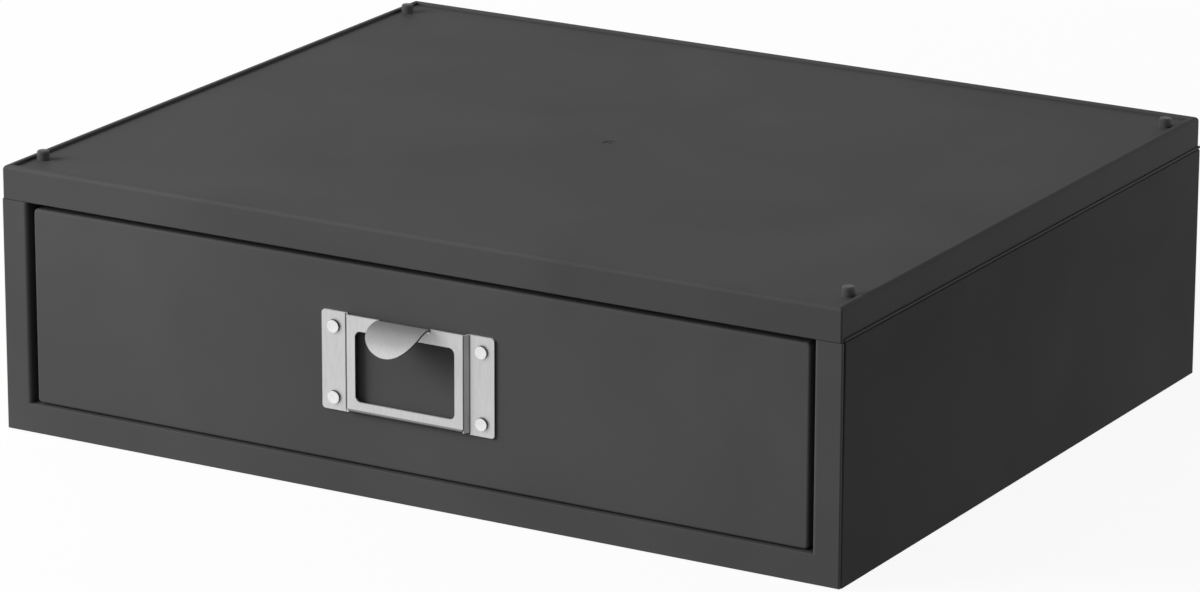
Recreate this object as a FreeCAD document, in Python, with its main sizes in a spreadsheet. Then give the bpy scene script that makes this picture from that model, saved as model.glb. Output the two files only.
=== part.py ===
import FreeCAD, Part
import os
import Sketcher

# Desktop file drawer: a stackable moulded case with one drawer.
# X runs to the right, Y to the back and Z up. The origin is on the desk, at the middle of the
# case's footprint. Every driving size stands once in the sheet "dims", in millimetres (degrees
# where its name says so), and every feature below is bound to those cells.

PARTS_FOLDER = "parts"
PLANE_TOLERANCE = 0.001

SIZES = {
    # The case as a whole
    "case_width": 340.0,  # outside width of the body
    "case_depth": 279.0,  # outside depth of the body
    "body_top": 86.4,  # height of the seam between body and lid above the desk
    "foot_proud": 0.4,  # how far the rubber feet stand below the case
    "side_wall": 2.4,  # wall of the side panels and of the back panel
    "panel_gap": 0.2,  # gap between neighbouring panels of the case
    "back_inset": 0.4,  # how far the back panel sits in from the side panels' rear edges
    "flange_width": 12.0,  # width of the inward flange that carries the lid
    "flange_skin": 2.4,  # thickness of that flange
    # Lid
    "lid_height": 12.4,  # height of the lid from the seam to the top of its rim
    "lid_inset": 0.7,  # how far the lid's skirt stands in from the body's sides and back
    "lid_wall": 2.4,  # wall of the lid's skirt
    "lid_skin": 2.4,  # thickness of the lid's field
    "lid_round": 1.5,  # rounding of the lid's upper outer edges
    "lid_corner": 0.6,  # rounding of the lid's upright corners
    "lid_foot_round": 0.4,  # rounding of the lid's lower front edge
    "rim_height": 1.0,  # height of the raised rim above the field
    "rim_width": 2.8,  # width of the raised rim
    "rim_round": 0.4,  # rounding of the rim's inner edge
    "lip_height": 0.8,  # height of the lip along the skirt's lower edge
    "lip_rise": 0.4,  # height of that lip above the seam
    "lip_proud": 0.5,  # how far the lip stands out from the skirt
    "lip_start": 1.8,  # distance of the lip's front end behind the lid's face
    "shadow_height": 0.4,  # height of the shadow groove above the lip
    "shadow_depth": 0.3,  # depth of the shadow groove
    "return_skin": 2.0,  # thickness of the lid's front return over the opening
    "lid_rib": 1.6,  # thickness of the ribs under the lid
    "lid_rib_drop": 3.0,  # height of the ribs under the lid
    "lid_rib_pitch": 80.0,  # spacing of the ribs under the lid
    "gate_mark": 5.4,  # diameter of the moulding gate's dimple at the middle of the lid
    "gate_depth": 0.2,  # depth of that dimple
    "gate_nub": 1.0,  # diameter of the gate's trimmed stub
    # Stacking pegs and their sockets
    "peg_from_side": 7.0,  # distance of the pegs and sockets from the body's sides
    "peg_from_end": 16.4,  # distance of the pegs and sockets from the body's front and back
    "peg_diameter": 4.5,  # diameter of a peg's head
    "peg_height": 3.5,  # height of a peg's head above the lid's field
    "peg_round": 0.7,  # rounding of a peg's head
    "peg_shank": 3.4,  # diameter of a peg's shank
    "peg_shank_length": 5.0,  # length of a peg's shank
    "peg_fit": 0.05,  # gap around a peg's shank in its boss
    "peg_boss": 8.0,  # diameter of the lid's boss around a peg
    "socket_gap": 0.35,  # gap around a peg's head in a socket
    "socket_depth": 4.8,  # depth of a socket under the base
    "socket_boss": 8.6,  # diameter of the base's boss around a socket
    "socket_roof": 1.2,  # thickness of the base above a socket
    # Front frame
    "post_width": 10.8,  # width of the frame's two posts
    "rail_height": 10.8,  # height of the frame's bottom rail
    "frame_skin": 2.4,  # thickness of the frame's face
    "frame_edge": 1.0,  # thickness of the face at its outer edge, in front of the side panels
    "frame_inset": 0.3,  # how far the posts stand in from the side panels' outer faces
    "frame_round": 0.5,  # rounding of the frame's outer edges
    "jamb_round": 0.4,  # rounding of the bottom rail's upper front edge
    "post_round": 1.4,  # rounding of the posts' front edges beside the opening
    "jamb_wall": 2.4,  # wall of the jamb around the opening
    "jamb_depth": 14.0,  # depth of the jamb behind the frame's face
    "groove_top": 0.8,  # gap between frame and side panel at the seam
    "groove_foot": 0.15,  # the same gap from the groove's end down to the base
    "groove_end": 20.0,  # height at which the groove has closed
    "locating_rib": 2.2,  # thickness of the ribs behind the posts that the side panels bear on
    "locating_depth": 8.0,  # depth of those ribs behind the face
    # Side panels
    "panel_round": 0.5,  # rounding of the side panels' front and top edges
    "panel_rear_round": 1.2,  # rounding of the side panels' rear edges
    "back_rib": 2.0,  # thickness of the upright rib in front of the back panel
    "back_rib_width": 4.0,  # how far that rib stands in from the side panel
    "back_flange": 10.0,  # depth of the back panel's flange under the lid
    "back_frame": 14.0,  # width of the back panel's raised border
    "back_sink": 0.6,  # depth of the back panel's sunk middle
    # Base
    "base_skin": 2.4,  # thickness of the base
    "base_rib": 1.6,  # thickness of the ribs on the base
    "base_rib_rise": 2.4,  # height of the ribs on the base
    "base_rib_pitch": 80.0,  # spacing of the ribs on the base
    "foot_diameter": 12.0,  # diameter of a rubber foot
    "foot_recess": 1.0,  # depth of a foot's seat in the base
    "foot_fit": 0.2,  # gap around a foot in its seat
    "foot_from_side": 20.0,  # distance of the feet from the body's sides
    "foot_from_end": 30.0,  # distance of the feet from the body's front and back
    # Screws
    "screw_shank": 2.9,  # diameter of the self-tapping screws
    "screw_head": 5.6,  # diameter of their pan heads
    "screw_head_height": 2.0,  # height of their pan heads
    "screw_head_round": 0.7,  # rounding of their pan heads
    "screw_length": 7.0,  # length of a screw under its head
    "screw_fit": 0.05,  # gap around a screw in the hole that it cuts
    "screw_clearance": 0.3,  # gap around a screw in a hole that it passes through
    "recess_width": 3.0,  # length of the cross recess in a screw's head
    "recess_slot": 0.7,  # width of the cross recess
    "recess_depth": 1.1,  # depth of the cross recess
    "head_seat": 0.4,  # gap around a screw's head in its counterbore
    "boss_rise": 5.2,  # height of the base's screw bosses above its underside
    "boss_diameter": 8.4,  # diameter of the base's screw bosses
    "counterbore": 2.4,  # depth of the seats for the base's screw heads
    "block_height": 6.6,  # height of the panels' screw blocks above those bosses
    "block_width": 7.6,  # width of those screw blocks
    "end_screw_pitch": 110.0,  # spacing of the screws along the front rail and the back panel
    "end_screw_in": 9.0,  # distance of the front row of screws behind the frame's face
    "back_screw_in": 6.0,  # distance of the back row of screws in front of the back panel
    "side_screw_pitch": 70.0,  # spacing of the base screws along each side
    "side_screw_in": 4.6,  # distance of those screws from the side panels' inner faces
    "lid_screw_pitch": 100.0,  # spacing of the lid screws along each side
    "lid_screw_in": 7.1,  # distance of the lid screws from the side panels' inner faces
    "lid_boss": 7.6,  # diameter of the lid's screw bosses
    "bore_spare": 0.4,  # how far a screw hole runs past the screw's tip
    # Runners
    "runner_wall": 2.0,  # wall of the runners
    "runner_standoff": 4.6,  # how far the runners stand in from the side panels
    "runner_start": 1.5,  # gap between the jamb and a runner's front end
    "runner_end_gap": 4.0,  # gap between a runner's rear end and the back panel
    "runner_screw_pitch": 90.0,  # spacing of the screws along a runner
    "runner_screw_rise": 5.5,  # height of those screws above the channel
    "runner_head_room": 4.5,  # height of the runner's web above those screws
    "runner_post": 12.0,  # length of the side panels' posts behind the runners
    "ledge_width": 7.9,  # how far the runners' ledges stand in from their webs
    "slide_gap": 0.6,  # gap between the tray's wall and a runner's ledge
    "run_gap": 0.3,  # gap above and below the tray's rib in the channel
    "stop_length": 4.0,  # length of the stop at a runner's front end
    "stop_clear": 1.1,  # gap between the tray's rib and that stop
    # Drawer
    "side_gap": 2.2,  # gap at each side of the drawer's front
    "top_gap": 2.2,  # gap above the drawer's front
    "foot_gap": 0.6,  # gap below the drawer's front
    "front_recess": 1.2,  # how far the drawer's front sits behind the frame's face
    "front_depth": 10.0,  # depth of the moulded drawer front
    "front_skin": 2.4,  # wall of the moulded drawer front
    "front_round": 0.9,  # rounding of its front edges
    "front_corner": 1.6,  # rounding of its four corners
    "front_rib": 1.6,  # thickness of the upright ribs inside it
    "front_rib_pitch": 60.0,  # distance of those ribs from the middle
    "front_boss": 7.6,  # diameter of its screw bosses
    "front_screw_half": 120.0,  # distance of its screws from the middle, across
    "front_screw_rise": 19.0,  # distance of its screws from the middle, up and down
    "tray_wall": 2.0,  # wall and floor of the tray
    "tray_height": 63.0,  # height of the tray
    "tray_lift": 1.8,  # height of the tray's underside above the bottom rail
    "tray_corner": 5.0,  # outer rounding of the tray's rear corners
    "tray_cove": 2.5,  # inner rounding between the tray's floor and walls
    "rim_bead": 1.2,  # how far the bead around the tray's rim stands out
    "rim_bead_height": 3.0,  # height of that bead
    "rib_lift": 3.8,  # height of the sliding ribs above the tray's underside
    "rib_height": 7.0,  # height of the sliding ribs
    "rib_out": 4.7,  # how far the sliding ribs stand out from the tray
    "rib_skin": 1.6,  # wall of the sliding ribs, which are open below
    "stop_play": 0.3,  # gap left at the stop when the drawer is open
    "glide_length": 50.1,  # length of a glide
    "glide_side_gap": 0.6,  # gap between a glide and the runner's web
    "glide_gap": 0.1,  # gap above and below a glide in the channel
    "glide_end": 1.0,  # distance of a glide's rear end from the tray's back
    "glide_nose": 1.5,  # chamfer of a glide's ends
    "glide_pin": 3.8,  # diameter of the pins that hold a glide
    "glide_pin_fit": 0.05,  # gap around those pins
    "glide_pin_pitch": 30.0,  # spacing of those pins
    "bumper_diameter": 10.0,  # diameter of a rear bumper
    "bumper_proud": 7.0,  # how far a bumper stands in front of the back panel
    "bumper_round": 1.5,  # rounding of a bumper's face
    "bumper_pin": 4.0,  # diameter of a bumper's pin
    "bumper_fit": 0.1,  # gap around a bumper's pin
    "bumper_half": 110.0,  # distance of the bumpers from the middle
    "bumper_rise": 45.0,  # height of the bumpers above the desk
    "rest_gap": 0.3,  # gap between the closed drawer and the bumpers
    # Label holder with its pull
    "plate_width": 70.0,  # width of the label holder
    "plate_height": 36.0,  # height of the label holder
    "sheet": 0.8,  # thickness of its steel sheet
    "plate_lift": 0.5,  # how far it sits above the middle of the drawer's front
    "plate_raise": 2.0,  # how far its middle stands off its two flanges
    "raised_width": 47.6,  # width of the raised middle
    "joggle_run": 1.35,  # sideways run of the step between flange and middle
    "bend_round": 0.5,  # rounding of the pressed bends
    "plate_corner": 1.8,  # rounding of the plate's corners
    "window_width": 40.4,  # width of the label window
    "window_height": 25.9,  # height of the label window
    "window_corner": 2.3,  # rounding of the window's corners
    "relief": 1.4,  # width of the relief notches beside the bottom lip
    "relief_height": 1.9,  # height of those notches
    "lip_up": 0.5,  # height of the bottom lip above the flanges' lower edges
    "lip_bend": 1.5,  # outer rounding of the holder's bottom lip
    "lip_play": 0.1,  # gap between that lip and the drawer's front
    "tab_width": 21.0,  # width of the finger tab
    "tab_radius": 12.9,  # outer radius of the curled finger tab
    "tab_sweep_degrees": 71.6,  # angle that the tab curls down through
    "tab_bend": 2.06,  # outer radius of the bend at the tab's root
    "tab_rise": 0.3,  # height of the tab's highest line above the flanges' upper edges
    "tab_cut_degrees": 45.0,  # tilt of the direction in which the tab's round end is cut
    "rivet_pitch_across": 60.0,  # spacing of the rivets across
    "rivet_pitch_up": 25.9,  # spacing of the rivets up and down
    "rivet_head": 4.8,  # diameter of a rivet's head
    "rivet_head_height": 1.0,  # height of a rivet's head
    "rivet_round": 0.35,  # rounding of a rivet's head
    "rivet_shank": 3.0,  # diameter of a rivet's shank
    "rivet_fit": 0.05,  # gap around a rivet's shank
    "rivet_tail": 4.4,  # diameter of a rivet's closed tail
    "rivet_tail_height": 0.9,  # height of a rivet's closed tail
    "washer_diameter": 8.0,  # diameter of a backing washer
    "washer_thickness": 0.8,  # thickness of a backing washer
}

doc = FreeCAD.newDocument("file_drawer")
dims = doc.addObject("Spreadsheet::Sheet", "dims")
for row, (alias, value) in enumerate(SIZES.items(), 1):
    dims.set(f"A{row}", alias)
    dims.set(f"B{row}", str(value))
    dims.setAlias(f"B{row}", alias)
doc.recompute()

# Places worked out from the driving sizes
half_width = "(dims.case_width / 2)"
front = "(-dims.case_depth / 2)"
back = "(dims.case_depth / 2)"
seam = "dims.body_top"
base_low = "dims.foot_proud"
base_top = "(dims.foot_proud + dims.base_skin)"
rail_top = "(dims.foot_proud + dims.rail_height)"
opening_half = f"({half_width} - dims.post_width)"
frame_half = f"({half_width} - dims.frame_inset)"
side_inner = f"({half_width} - dims.side_wall)"
back_outer = f"({back} - dims.back_inset)"
back_inner = f"({back_outer} - dims.side_wall)"
frame_back = f"({front} + dims.frame_skin)"
jamb_back = f"({front} + dims.jamb_depth)"
flange_low = f"({seam} - dims.flange_skin)"

lid_half = f"({half_width} - dims.lid_inset)"
lid_back = f"({back} - dims.lid_inset)"
lid_top = f"({seam} + dims.lid_height)"
field_top = f"({lid_top} - dims.rim_height)"
lid_under = f"({field_top} - dims.lid_skin)"
lip_low = f"({seam} + dims.lip_rise)"
lip_high = f"({lip_low} + dims.lip_height)"

peg_x = f"({half_width} - dims.peg_from_side)"
peg_y = f"({back} - dims.peg_from_end)"
foot_x = f"({half_width} - dims.foot_from_side)"
foot_y = f"({back} - dims.foot_from_end)"
boss_top = f"({base_low} + dims.boss_rise)"
block_top = f"({boss_top} + dims.block_height)"
end_row = f"({front} + dims.end_screw_in)"
back_row = f"({back_inner} - dims.back_screw_in)"
lid_screw_x = f"({side_inner} - dims.lid_screw_in)"
side_screw_x = f"({side_inner} - dims.side_screw_in)"
base_edge = f"({side_inner} - dims.panel_gap)"
base_seat = f"({base_low} + dims.counterbore)"
bore_end = f"({base_seat} + dims.screw_length + dims.bore_spare)"
bore = "(dims.screw_shank + 2 * dims.screw_fit)"
clear_hole = "(dims.screw_shank + 2 * dims.screw_clearance)"

face = f"({front} + dims.front_recess)"
face_half = f"({opening_half} - dims.side_gap)"
face_low = f"({rail_top} + dims.foot_gap)"
face_high = f"({seam} - dims.top_gap)"
face_middle = f"(({face_low} + {face_high}) / 2)"
front_screw_zs = [f"({face_middle} - dims.front_screw_rise)", f"({face_middle} + dims.front_screw_rise)"]
skin_back = f"({face} + dims.front_skin)"
moulding_back = f"({face} + dims.front_depth)"
front_screw_seat = f"({moulding_back} + dims.tray_wall)"

web_outer = f"({side_inner} - dims.runner_standoff)"
web_inner = f"({web_outer} - dims.runner_wall)"
ledge = f"({web_inner} - dims.ledge_width)"

tray_half = f"({ledge} - dims.slide_gap)"
tray_low = f"({rail_top} + dims.tray_lift)"
tray_top = f"({tray_low} + dims.tray_height)"
tray_back = f"({back_inner} - dims.bumper_proud - dims.rest_gap)"
rib_low = f"({tray_low} + dims.rib_lift)"
rib_high = f"({rib_low} + dims.rib_height)"
rib_half = f"({tray_half} + dims.rib_out)"
channel_low = f"({rib_low} - dims.run_gap)"
channel_high = f"({rib_high} + dims.run_gap)"

runner_front = f"({jamb_back} + dims.runner_start)"
runner_back = f"({back_inner} - dims.runner_end_gap)"
runner_low = f"({channel_low} - dims.runner_wall)"
runner_screw_z = f"({channel_high} + dims.runner_wall + dims.runner_screw_rise)"
runner_high = f"({runner_screw_z} + dims.runner_head_room)"
stop_back = f"({runner_front} + dims.stop_length)"

# The glides meet the stops after the drawer's whole travel, less the play that the joint leaves.
glide_back = f"({tray_back} - dims.glide_end)"
glide_front = f"({glide_back} - dims.glide_length)"
drawer_travel = f"({glide_front} - {stop_back} - dims.stop_play)"
glide_middle = f"(({glide_front} + {glide_back}) / 2)"
glide_pin_ys = [f"({glide_middle} {sign} dims.glide_pin_pitch / 2)" for sign in "-+"]
glide_pin_z = f"(({rib_low} + {rib_high}) / 2)"

plate_front = f"({face} - dims.sheet)"
raised_front = f"({plate_front} - dims.plate_raise)"
raised_back = f"({face} - dims.plate_raise)"
raised_half = "(dims.raised_width / 2)"
joggle_half = f"({raised_half} + dims.joggle_run)"
plate_middle = f"({face_middle} + dims.plate_lift)"
plate_low = f"({plate_middle} - dims.plate_height / 2)"
plate_high = f"({plate_middle} + dims.plate_height / 2)"
tab_half = "(dims.tab_width / 2)"
rivet_low = f"({face_middle} - dims.rivet_pitch_up / 2)"
rivet_high = f"({face_middle} + dims.rivet_pitch_up / 2)"
tab_top = f"({plate_high} + dims.tab_rise)"
# The tab's curl and the bend at its root meet on one upright plane, at the curl's highest point.
tab_plane = f"({raised_back} - dims.tab_bend)"
bend_centre = f"({tab_top} - dims.tab_bend)"
curl_centre = f"({tab_top} - dims.tab_radius)"


# Helpers for sketches and features
PLANES = {"XY": "XY_Plane", "XZ": "XZ_Plane", "YZ": "YZ_Plane"}
# The XZ plane's own normal points to -Y, so a place along Y is measured the other way there.
NORMAL_SIGN = {"XY": 1, "XZ": -1, "YZ": 1}


def number(expression):
    """The present value of an expression in the sheet's sizes."""
    return float(dims.evalExpression(expression))


def minus(expression):
    return f"(-{expression})"


def on_side(side, expression):
    """A place on the right (side 1) or on the left (side -1)."""
    return expression if side == 1 else minus(expression)


def origin_feature(body, role):
    return next(item for item in body.Origin.OriginFeatures if item.Role == role)


def new_body(label):
    body = doc.addObject("PartDesign::Body", label)
    body.Label = label
    return body


def rectangle(left, right, low, high):
    return [(left, low), (right, low), (right, high), (left, high)]


def circle(x, y, diameter):
    return {"x": x, "y": y, "diameter": diameter}


def hold_point(sketch, geometry, point, x, y):
    """Binds a point of the sketch to two expressions, measured from the sketch's origin."""
    for kind, place in (("DistanceX", x), ("DistanceY", y)):
        index = sketch.addConstraint(
            Sketcher.Constraint(kind, -1, 1, geometry, point, number(place))
        )
        sketch.setExpression(f"Constraints[{index}]", place)


def draw(sketch, outline):
    """Draws a circle, or a closed polygon through pairs of expressions."""
    first = sketch.GeometryCount
    if isinstance(outline, dict):
        middle = FreeCAD.Vector(number(outline["x"]), number(outline["y"]), 0)
        radius = number(outline["diameter"]) / 2
        upward = FreeCAD.Vector(0, 0, 1)
        sketch.addGeometry(Part.Circle(middle, upward, radius), False)
        hold_point(sketch, first, 3, outline["x"], outline["y"])
        index = sketch.addConstraint(Sketcher.Constraint("Diameter", first, 2 * radius))
        sketch.setExpression(f"Constraints[{index}]", outline["diameter"])
        return
    corners = [FreeCAD.Vector(number(x), number(y), 0) for x, y in outline]
    count = len(corners)
    for index in range(count):
        line = Part.LineSegment(corners[index], corners[(index + 1) % count])
        sketch.addGeometry(line, False)
    for index in range(count):
        following = first + (index + 1) % count
        sketch.addConstraint(Sketcher.Constraint("Coincident", first + index, 2, following, 1))
    for index, (x, y) in enumerate(outline):
        hold_point(sketch, first + index, 1, x, y)


def new_sketch(body, name, plane, place, outlines):
    """A sketch parallel to an origin plane of its body, at a place along that plane's axis."""
    sketch = body.newObject("Sketcher::SketchObject", name)
    sketch.AttachmentSupport = [(origin_feature(body, PLANES[plane]), "")]
    sketch.MapMode = "FlatFace"
    offset = place if NORMAL_SIGN[plane] == 1 else minus(place)
    sketch.setExpression("AttachmentOffset.Base.z", offset)
    for outline in outlines:
        draw(sketch, outline)
    return sketch


def add(body, name, plane, start, end, *outlines):
    """Adds the prism of the outlines between two places along the plane's axis."""
    low, high = sorted((start, end), key=number)
    feature_sketch = new_sketch(body, f"{name}_outline", plane, low, outlines)
    pad = body.newObject("PartDesign::Pad", name)
    pad.Profile = feature_sketch
    pad.Reversed = NORMAL_SIGN[plane] == -1
    pad.setExpression("Length", f"{high} - {low}")
    return pad


def cut(body, name, plane, start, end, *outlines):
    """Cuts away the prism of the outlines between two places along the plane's axis."""
    low, high = sorted((start, end), key=number)
    feature_sketch = new_sketch(body, f"{name}_outline", plane, low, outlines)
    pocket = body.newObject("PartDesign::Pocket", name)
    pocket.Profile = feature_sketch
    pocket.Reversed = NORMAL_SIGN[plane] == 1
    pocket.setExpression("Length", f"{high} - {low}")
    return pocket


def stands_at(edge, places):
    """True where the whole edge lies at the given coordinates, each a place or a pair of limits."""
    first, last = edge.ParameterRange
    points = [edge.valueAt(value) for value in (first, (first + last) / 2, last)]
    for axis, place in places.items():
        limits = place if isinstance(place, tuple) else (place, place)
        low, high = (number(limit) for limit in limits)
        for point in points:
            if not low - PLANE_TOLERANCE <= getattr(point, axis) <= high + PLANE_TOLERANCE:
                return False
    return True


def edges_at(feature, *choices):
    """Names of the edges that lie at any of the given sets of coordinates."""
    doc.recompute()
    names = []
    for index, edge in enumerate(feature.Shape.Edges, 1):
        if any(stands_at(edge, places) for places in choices):
            names.append(f"Edge{index}")
    return names


def round_edges(body, name, radius, *choices):
    """Rounds every edge of the body's tip that lies at any of the given sets of coordinates."""
    base = body.Tip
    fillet = body.newObject("PartDesign::Fillet", name)
    fillet.Base = (base, edges_at(base, *choices))
    fillet.setExpression("Radius", radius)
    return fillet


def repeat(body, *steps):
    """Repeats the whole body: a step is an axis, count and length towards that axis's negative end,
    or the origin plane that mirrors it."""
    doc.recompute()
    feature = body.newObject("PartDesign::MultiTransform", "repeats")
    feature.TransformMode = "Whole shape"
    transformations = []
    for step in steps:
        if isinstance(step, str):
            copy = body.newObject("PartDesign::Mirrored", f"mirrored_in_{step}")
            copy.MirrorPlane = (origin_feature(body, PLANES[step]), [""])
        else:
            axis, count, length = step
            copy = body.newObject("PartDesign::LinearPattern", f"row_along_{axis}")
            copy.Direction = (origin_feature(body, f"{axis}_Axis"), [""])
            copy.Reversed = True
            copy.Occurrences = count
            copy.setExpression("Length", length)
        transformations.append(copy)
    feature.Transformations = transformations
    body.Tip = feature
    return feature


def mirror_image(label, source):
    """The left-hand twin of a right-hand piece."""
    twin = doc.addObject("Part::Mirroring", label)
    twin.Label = label
    twin.Source = source
    twin.Base = (0, 0, 0)
    twin.Normal = (1, 0, 0)
    return twin


def spread(pitch):
    """Three places along an axis: one each side of the middle, and the middle."""
    return [minus(pitch), "0", pitch]


def grid(xs, ys, diameter):
    """Circles at every pairing of the given places."""
    return [circle(x, y, diameter) for x in xs for y in ys]


def pair(expression):
    """The left and the right place of a mirrored pair."""
    return [minus(expression), expression]


def box_around(xs, ys, half_x, half_y):
    """Rectangles at every pairing of the given places."""
    return [
        rectangle(f"({x} - {half_x})", f"({x} + {half_x})", f"({y} - {half_y})", f"({y} + {half_y})")
        for x in xs
        for y in ys
    ]


# Lid: one moulding with a raised rim, a skirt that closes on the body's seam, ribs and bosses below
def make_top_panel():
    lid = new_body("top_panel")
    inner_half = f"({lid_half} - dims.lid_wall)"
    inner_front = f"({front} + dims.lid_wall)"
    inner_back = f"({lid_back} - dims.lid_wall)"
    add(lid, "block", "XY", seam, lid_top, rectangle(minus(lid_half), lid_half, front, lid_back))
    corners = [{"x": x, "y": y} for x in pair(lid_half) for y in (front, lid_back)]
    round_edges(lid, "upright_corners", "dims.lid_corner", *corners)
    upper = [{"x": x, "z": lid_top} for x in pair(lid_half)]
    upper += [{"y": y, "z": lid_top} for y in (front, lid_back)]
    round_edges(lid, "upper_edges", "dims.lid_round", *upper)
    round_edges(lid, "lower_front_edge", "dims.lid_foot_round", {"y": front, "z": seam})
    rim_half = f"({lid_half} - dims.rim_width)"
    rim_front = f"({front} + dims.rim_width)"
    rim_back = f"({lid_back} - dims.rim_width)"
    cut(lid, "field", "XY", field_top, lid_top,
        rectangle(minus(rim_half), rim_half, rim_front, rim_back))
    rim_edges = [{"x": x, "z": lid_top} for x in pair(rim_half)]
    rim_edges += [{"y": y, "z": lid_top} for y in (rim_front, rim_back)]
    round_edges(lid, "rim_edges", "dims.rim_round", *rim_edges)
    cut(lid, "hollow", "XY", seam, lid_under,
        rectangle(minus(inner_half), inner_half, inner_front, inner_back))

    # A lip and a shadow groove run along the skirt's sides and back.
    lip_front = f"({front} + dims.lip_start)"
    lip_half = f"({lid_half} + dims.lip_proud)"
    lip_back = f"({lid_back} + dims.lip_proud)"
    lip_root = f"({lid_half} - dims.lid_wall / 2)"
    lip_root_back = f"({lid_back} - dims.lid_wall / 2)"
    add(lid, "lip", "XY", lip_low, lip_high,
        u_shape(lip_front, lip_half, lip_back, lip_root, lip_root_back))
    groove_half = f"({lid_half} - dims.shadow_depth)"
    groove_back = f"({lid_back} - dims.shadow_depth)"
    groove_high = f"({lip_high} + dims.shadow_height)"
    cut(lid, "shadow_groove", "XY", lip_high, groove_high,
        u_shape(lip_front, lip_half, lip_back, groove_half, groove_back))

    # The front return covers the gap above the drawer's front.
    return_front = f"({front} + dims.lid_wall / 2)"
    return_high = f"({seam} + dims.return_skin)"
    add(lid, "front_return", "XY", seam, return_high,
        rectangle(minus(inner_half), inner_half, return_front, jamb_back))

    rib_foot = f"({lid_under} - dims.lid_rib_drop)"
    add(lid, "long_ribs", "XY", rib_foot, lid_under,
        *box_around(spread("dims.lid_rib_pitch"), ["0"], "dims.lid_rib / 2", inner_back))
    add(lid, "cross_ribs", "XY", rib_foot, lid_under,
        *box_around(["0"], spread("dims.lid_rib_pitch"), inner_half, "dims.lid_rib / 2"))

    screw_ys = spread("dims.lid_screw_pitch")
    add(lid, "screw_bosses", "XY", seam, lid_under, *grid(pair(lid_screw_x), screw_ys, "dims.lid_boss"))
    shank_end = f"({field_top} - dims.peg_shank_length)"
    add(lid, "peg_bosses", "XY", f"({shank_end} - dims.lid_wall)", lid_under,
        *grid(pair(peg_x), pair(peg_y), "dims.peg_boss"))
    lid_bore_end = f"({flange_low} + dims.screw_length + dims.bore_spare)"
    cut(lid, "screw_bores", "XY", seam, lid_bore_end, *grid(pair(lid_screw_x), screw_ys, bore))
    cut(lid, "peg_bores", "XY", f"({shank_end} - dims.bore_spare)", field_top,
        *grid(pair(peg_x), pair(peg_y), "(dims.peg_shank + 2 * dims.peg_fit)"))
    cut(lid, "gate_dimple", "XY", f"({field_top} - dims.gate_depth)", field_top,
        circle("0", "0", "dims.gate_mark"), circle("0", "0", "dims.gate_nub"))
    return lid


def u_shape(open_end, outer_half, outer_back, inner_half, inner_back):
    """A band along both sides and the back, open towards the front."""
    return [
        (minus(outer_half), open_end),
        (minus(outer_half), outer_back),
        (outer_half, outer_back),
        (outer_half, open_end),
        (inner_half, open_end),
        (inner_half, inner_back),
        (minus(inner_half), inner_back),
        (minus(inner_half), open_end),
    ]


# Stacking pegs: pressed into the lid's corners, where the feet of the next case's base sit over them
def make_stacking_pegs():
    pegs = new_body("stacking_pegs")
    head_top = f"({field_top} + dims.peg_height)"
    add(pegs, "head", "XY", field_top, head_top, circle(peg_x, peg_y, "dims.peg_diameter"))
    round_edges(pegs, "head_edge", "dims.peg_round", {"z": head_top})
    add(pegs, "shank", "XY", f"({field_top} - dims.peg_shank_length)", field_top,
        circle(peg_x, peg_y, "dims.peg_shank"))
    repeat(pegs, ("X", 2, f"2 * {peg_x}"), ("Y", 2, f"2 * {peg_y}"))
    return pegs


# Front frame: two posts and a bottom rail around the opening, with a jamb that stiffens them
def make_front_frame():
    frame = new_body("front_frame")
    add(frame, "face", "XZ", front, frame_back,
        upright_u(frame_half, base_low, opening_half, rail_top))
    behind_edge = f"({front} + dims.frame_edge)"
    for side in (1, -1):
        inner = on_side(side, base_edge)
        outer = on_side(side, f"({half_width} + dims.frame_round)")
        left, right = sorted((inner, outer), key=number)
        cut(frame, f"rebate_{'right' if side == 1 else 'left'}", "XZ", behind_edge, frame_back,
            rectangle(left, right, base_low, seam))
    jamb_outer = f"({opening_half} + dims.jamb_wall)"
    jamb_low = f"({rail_top} - dims.jamb_wall)"
    add(frame, "jamb", "XZ", f"({front} + dims.frame_skin / 2)", jamb_back,
        upright_u(jamb_outer, jamb_low, opening_half, rail_top))
    outside = [{"x": x, "y": front} for x in pair(frame_half)]
    round_edges(frame, "outer_edges", "dims.frame_round", *outside, {"z": base_low, "y": front})
    inside = [{"x": x, "y": front} for x in pair(opening_half)]
    round_edges(frame, "post_edges", "dims.post_round", *inside)
    round_edges(frame, "rail_edge", "dims.jamb_round", {"z": rail_top, "y": front})

    # The side panels bear on a rib behind each post, and the base is screwed into the rail.
    rib_outer = f"({side_inner} - dims.panel_gap)"
    rib_inner = f"({rib_outer} - dims.locating_rib)"
    rib_end = f"({frame_back} + dims.locating_depth)"
    rib_foot = f"({base_top} + dims.panel_gap)"
    for side in (1, -1):
        left, right = sorted((on_side(side, rib_inner), on_side(side, rib_outer)), key=number)
        add(frame, f"locating_rib_{'right' if side == 1 else 'left'}", "XZ",
            f"({front} + dims.frame_edge / 2)", rib_end, rectangle(left, right, rib_foot, seam))
    xs = spread("dims.end_screw_pitch")
    add(frame, "screw_bosses", "XY", boss_top, f"({jamb_low} + dims.jamb_wall / 2)",
        *grid(xs, [end_row], "dims.block_width"))
    cut(frame, "screw_bores", "XY", boss_top, bore_end, *grid(xs, [end_row], bore))
    return frame


def upright_u(outer_half, outer_low, inner_half, inner_low):
    """Two posts joined by a rail below, open at the seam."""
    return [
        (minus(outer_half), outer_low),
        (outer_half, outer_low),
        (outer_half, seam),
        (inner_half, seam),
        (inner_half, inner_low),
        (minus(inner_half), inner_low),
        (minus(inner_half), seam),
        (minus(outer_half), seam),
    ]


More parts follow.
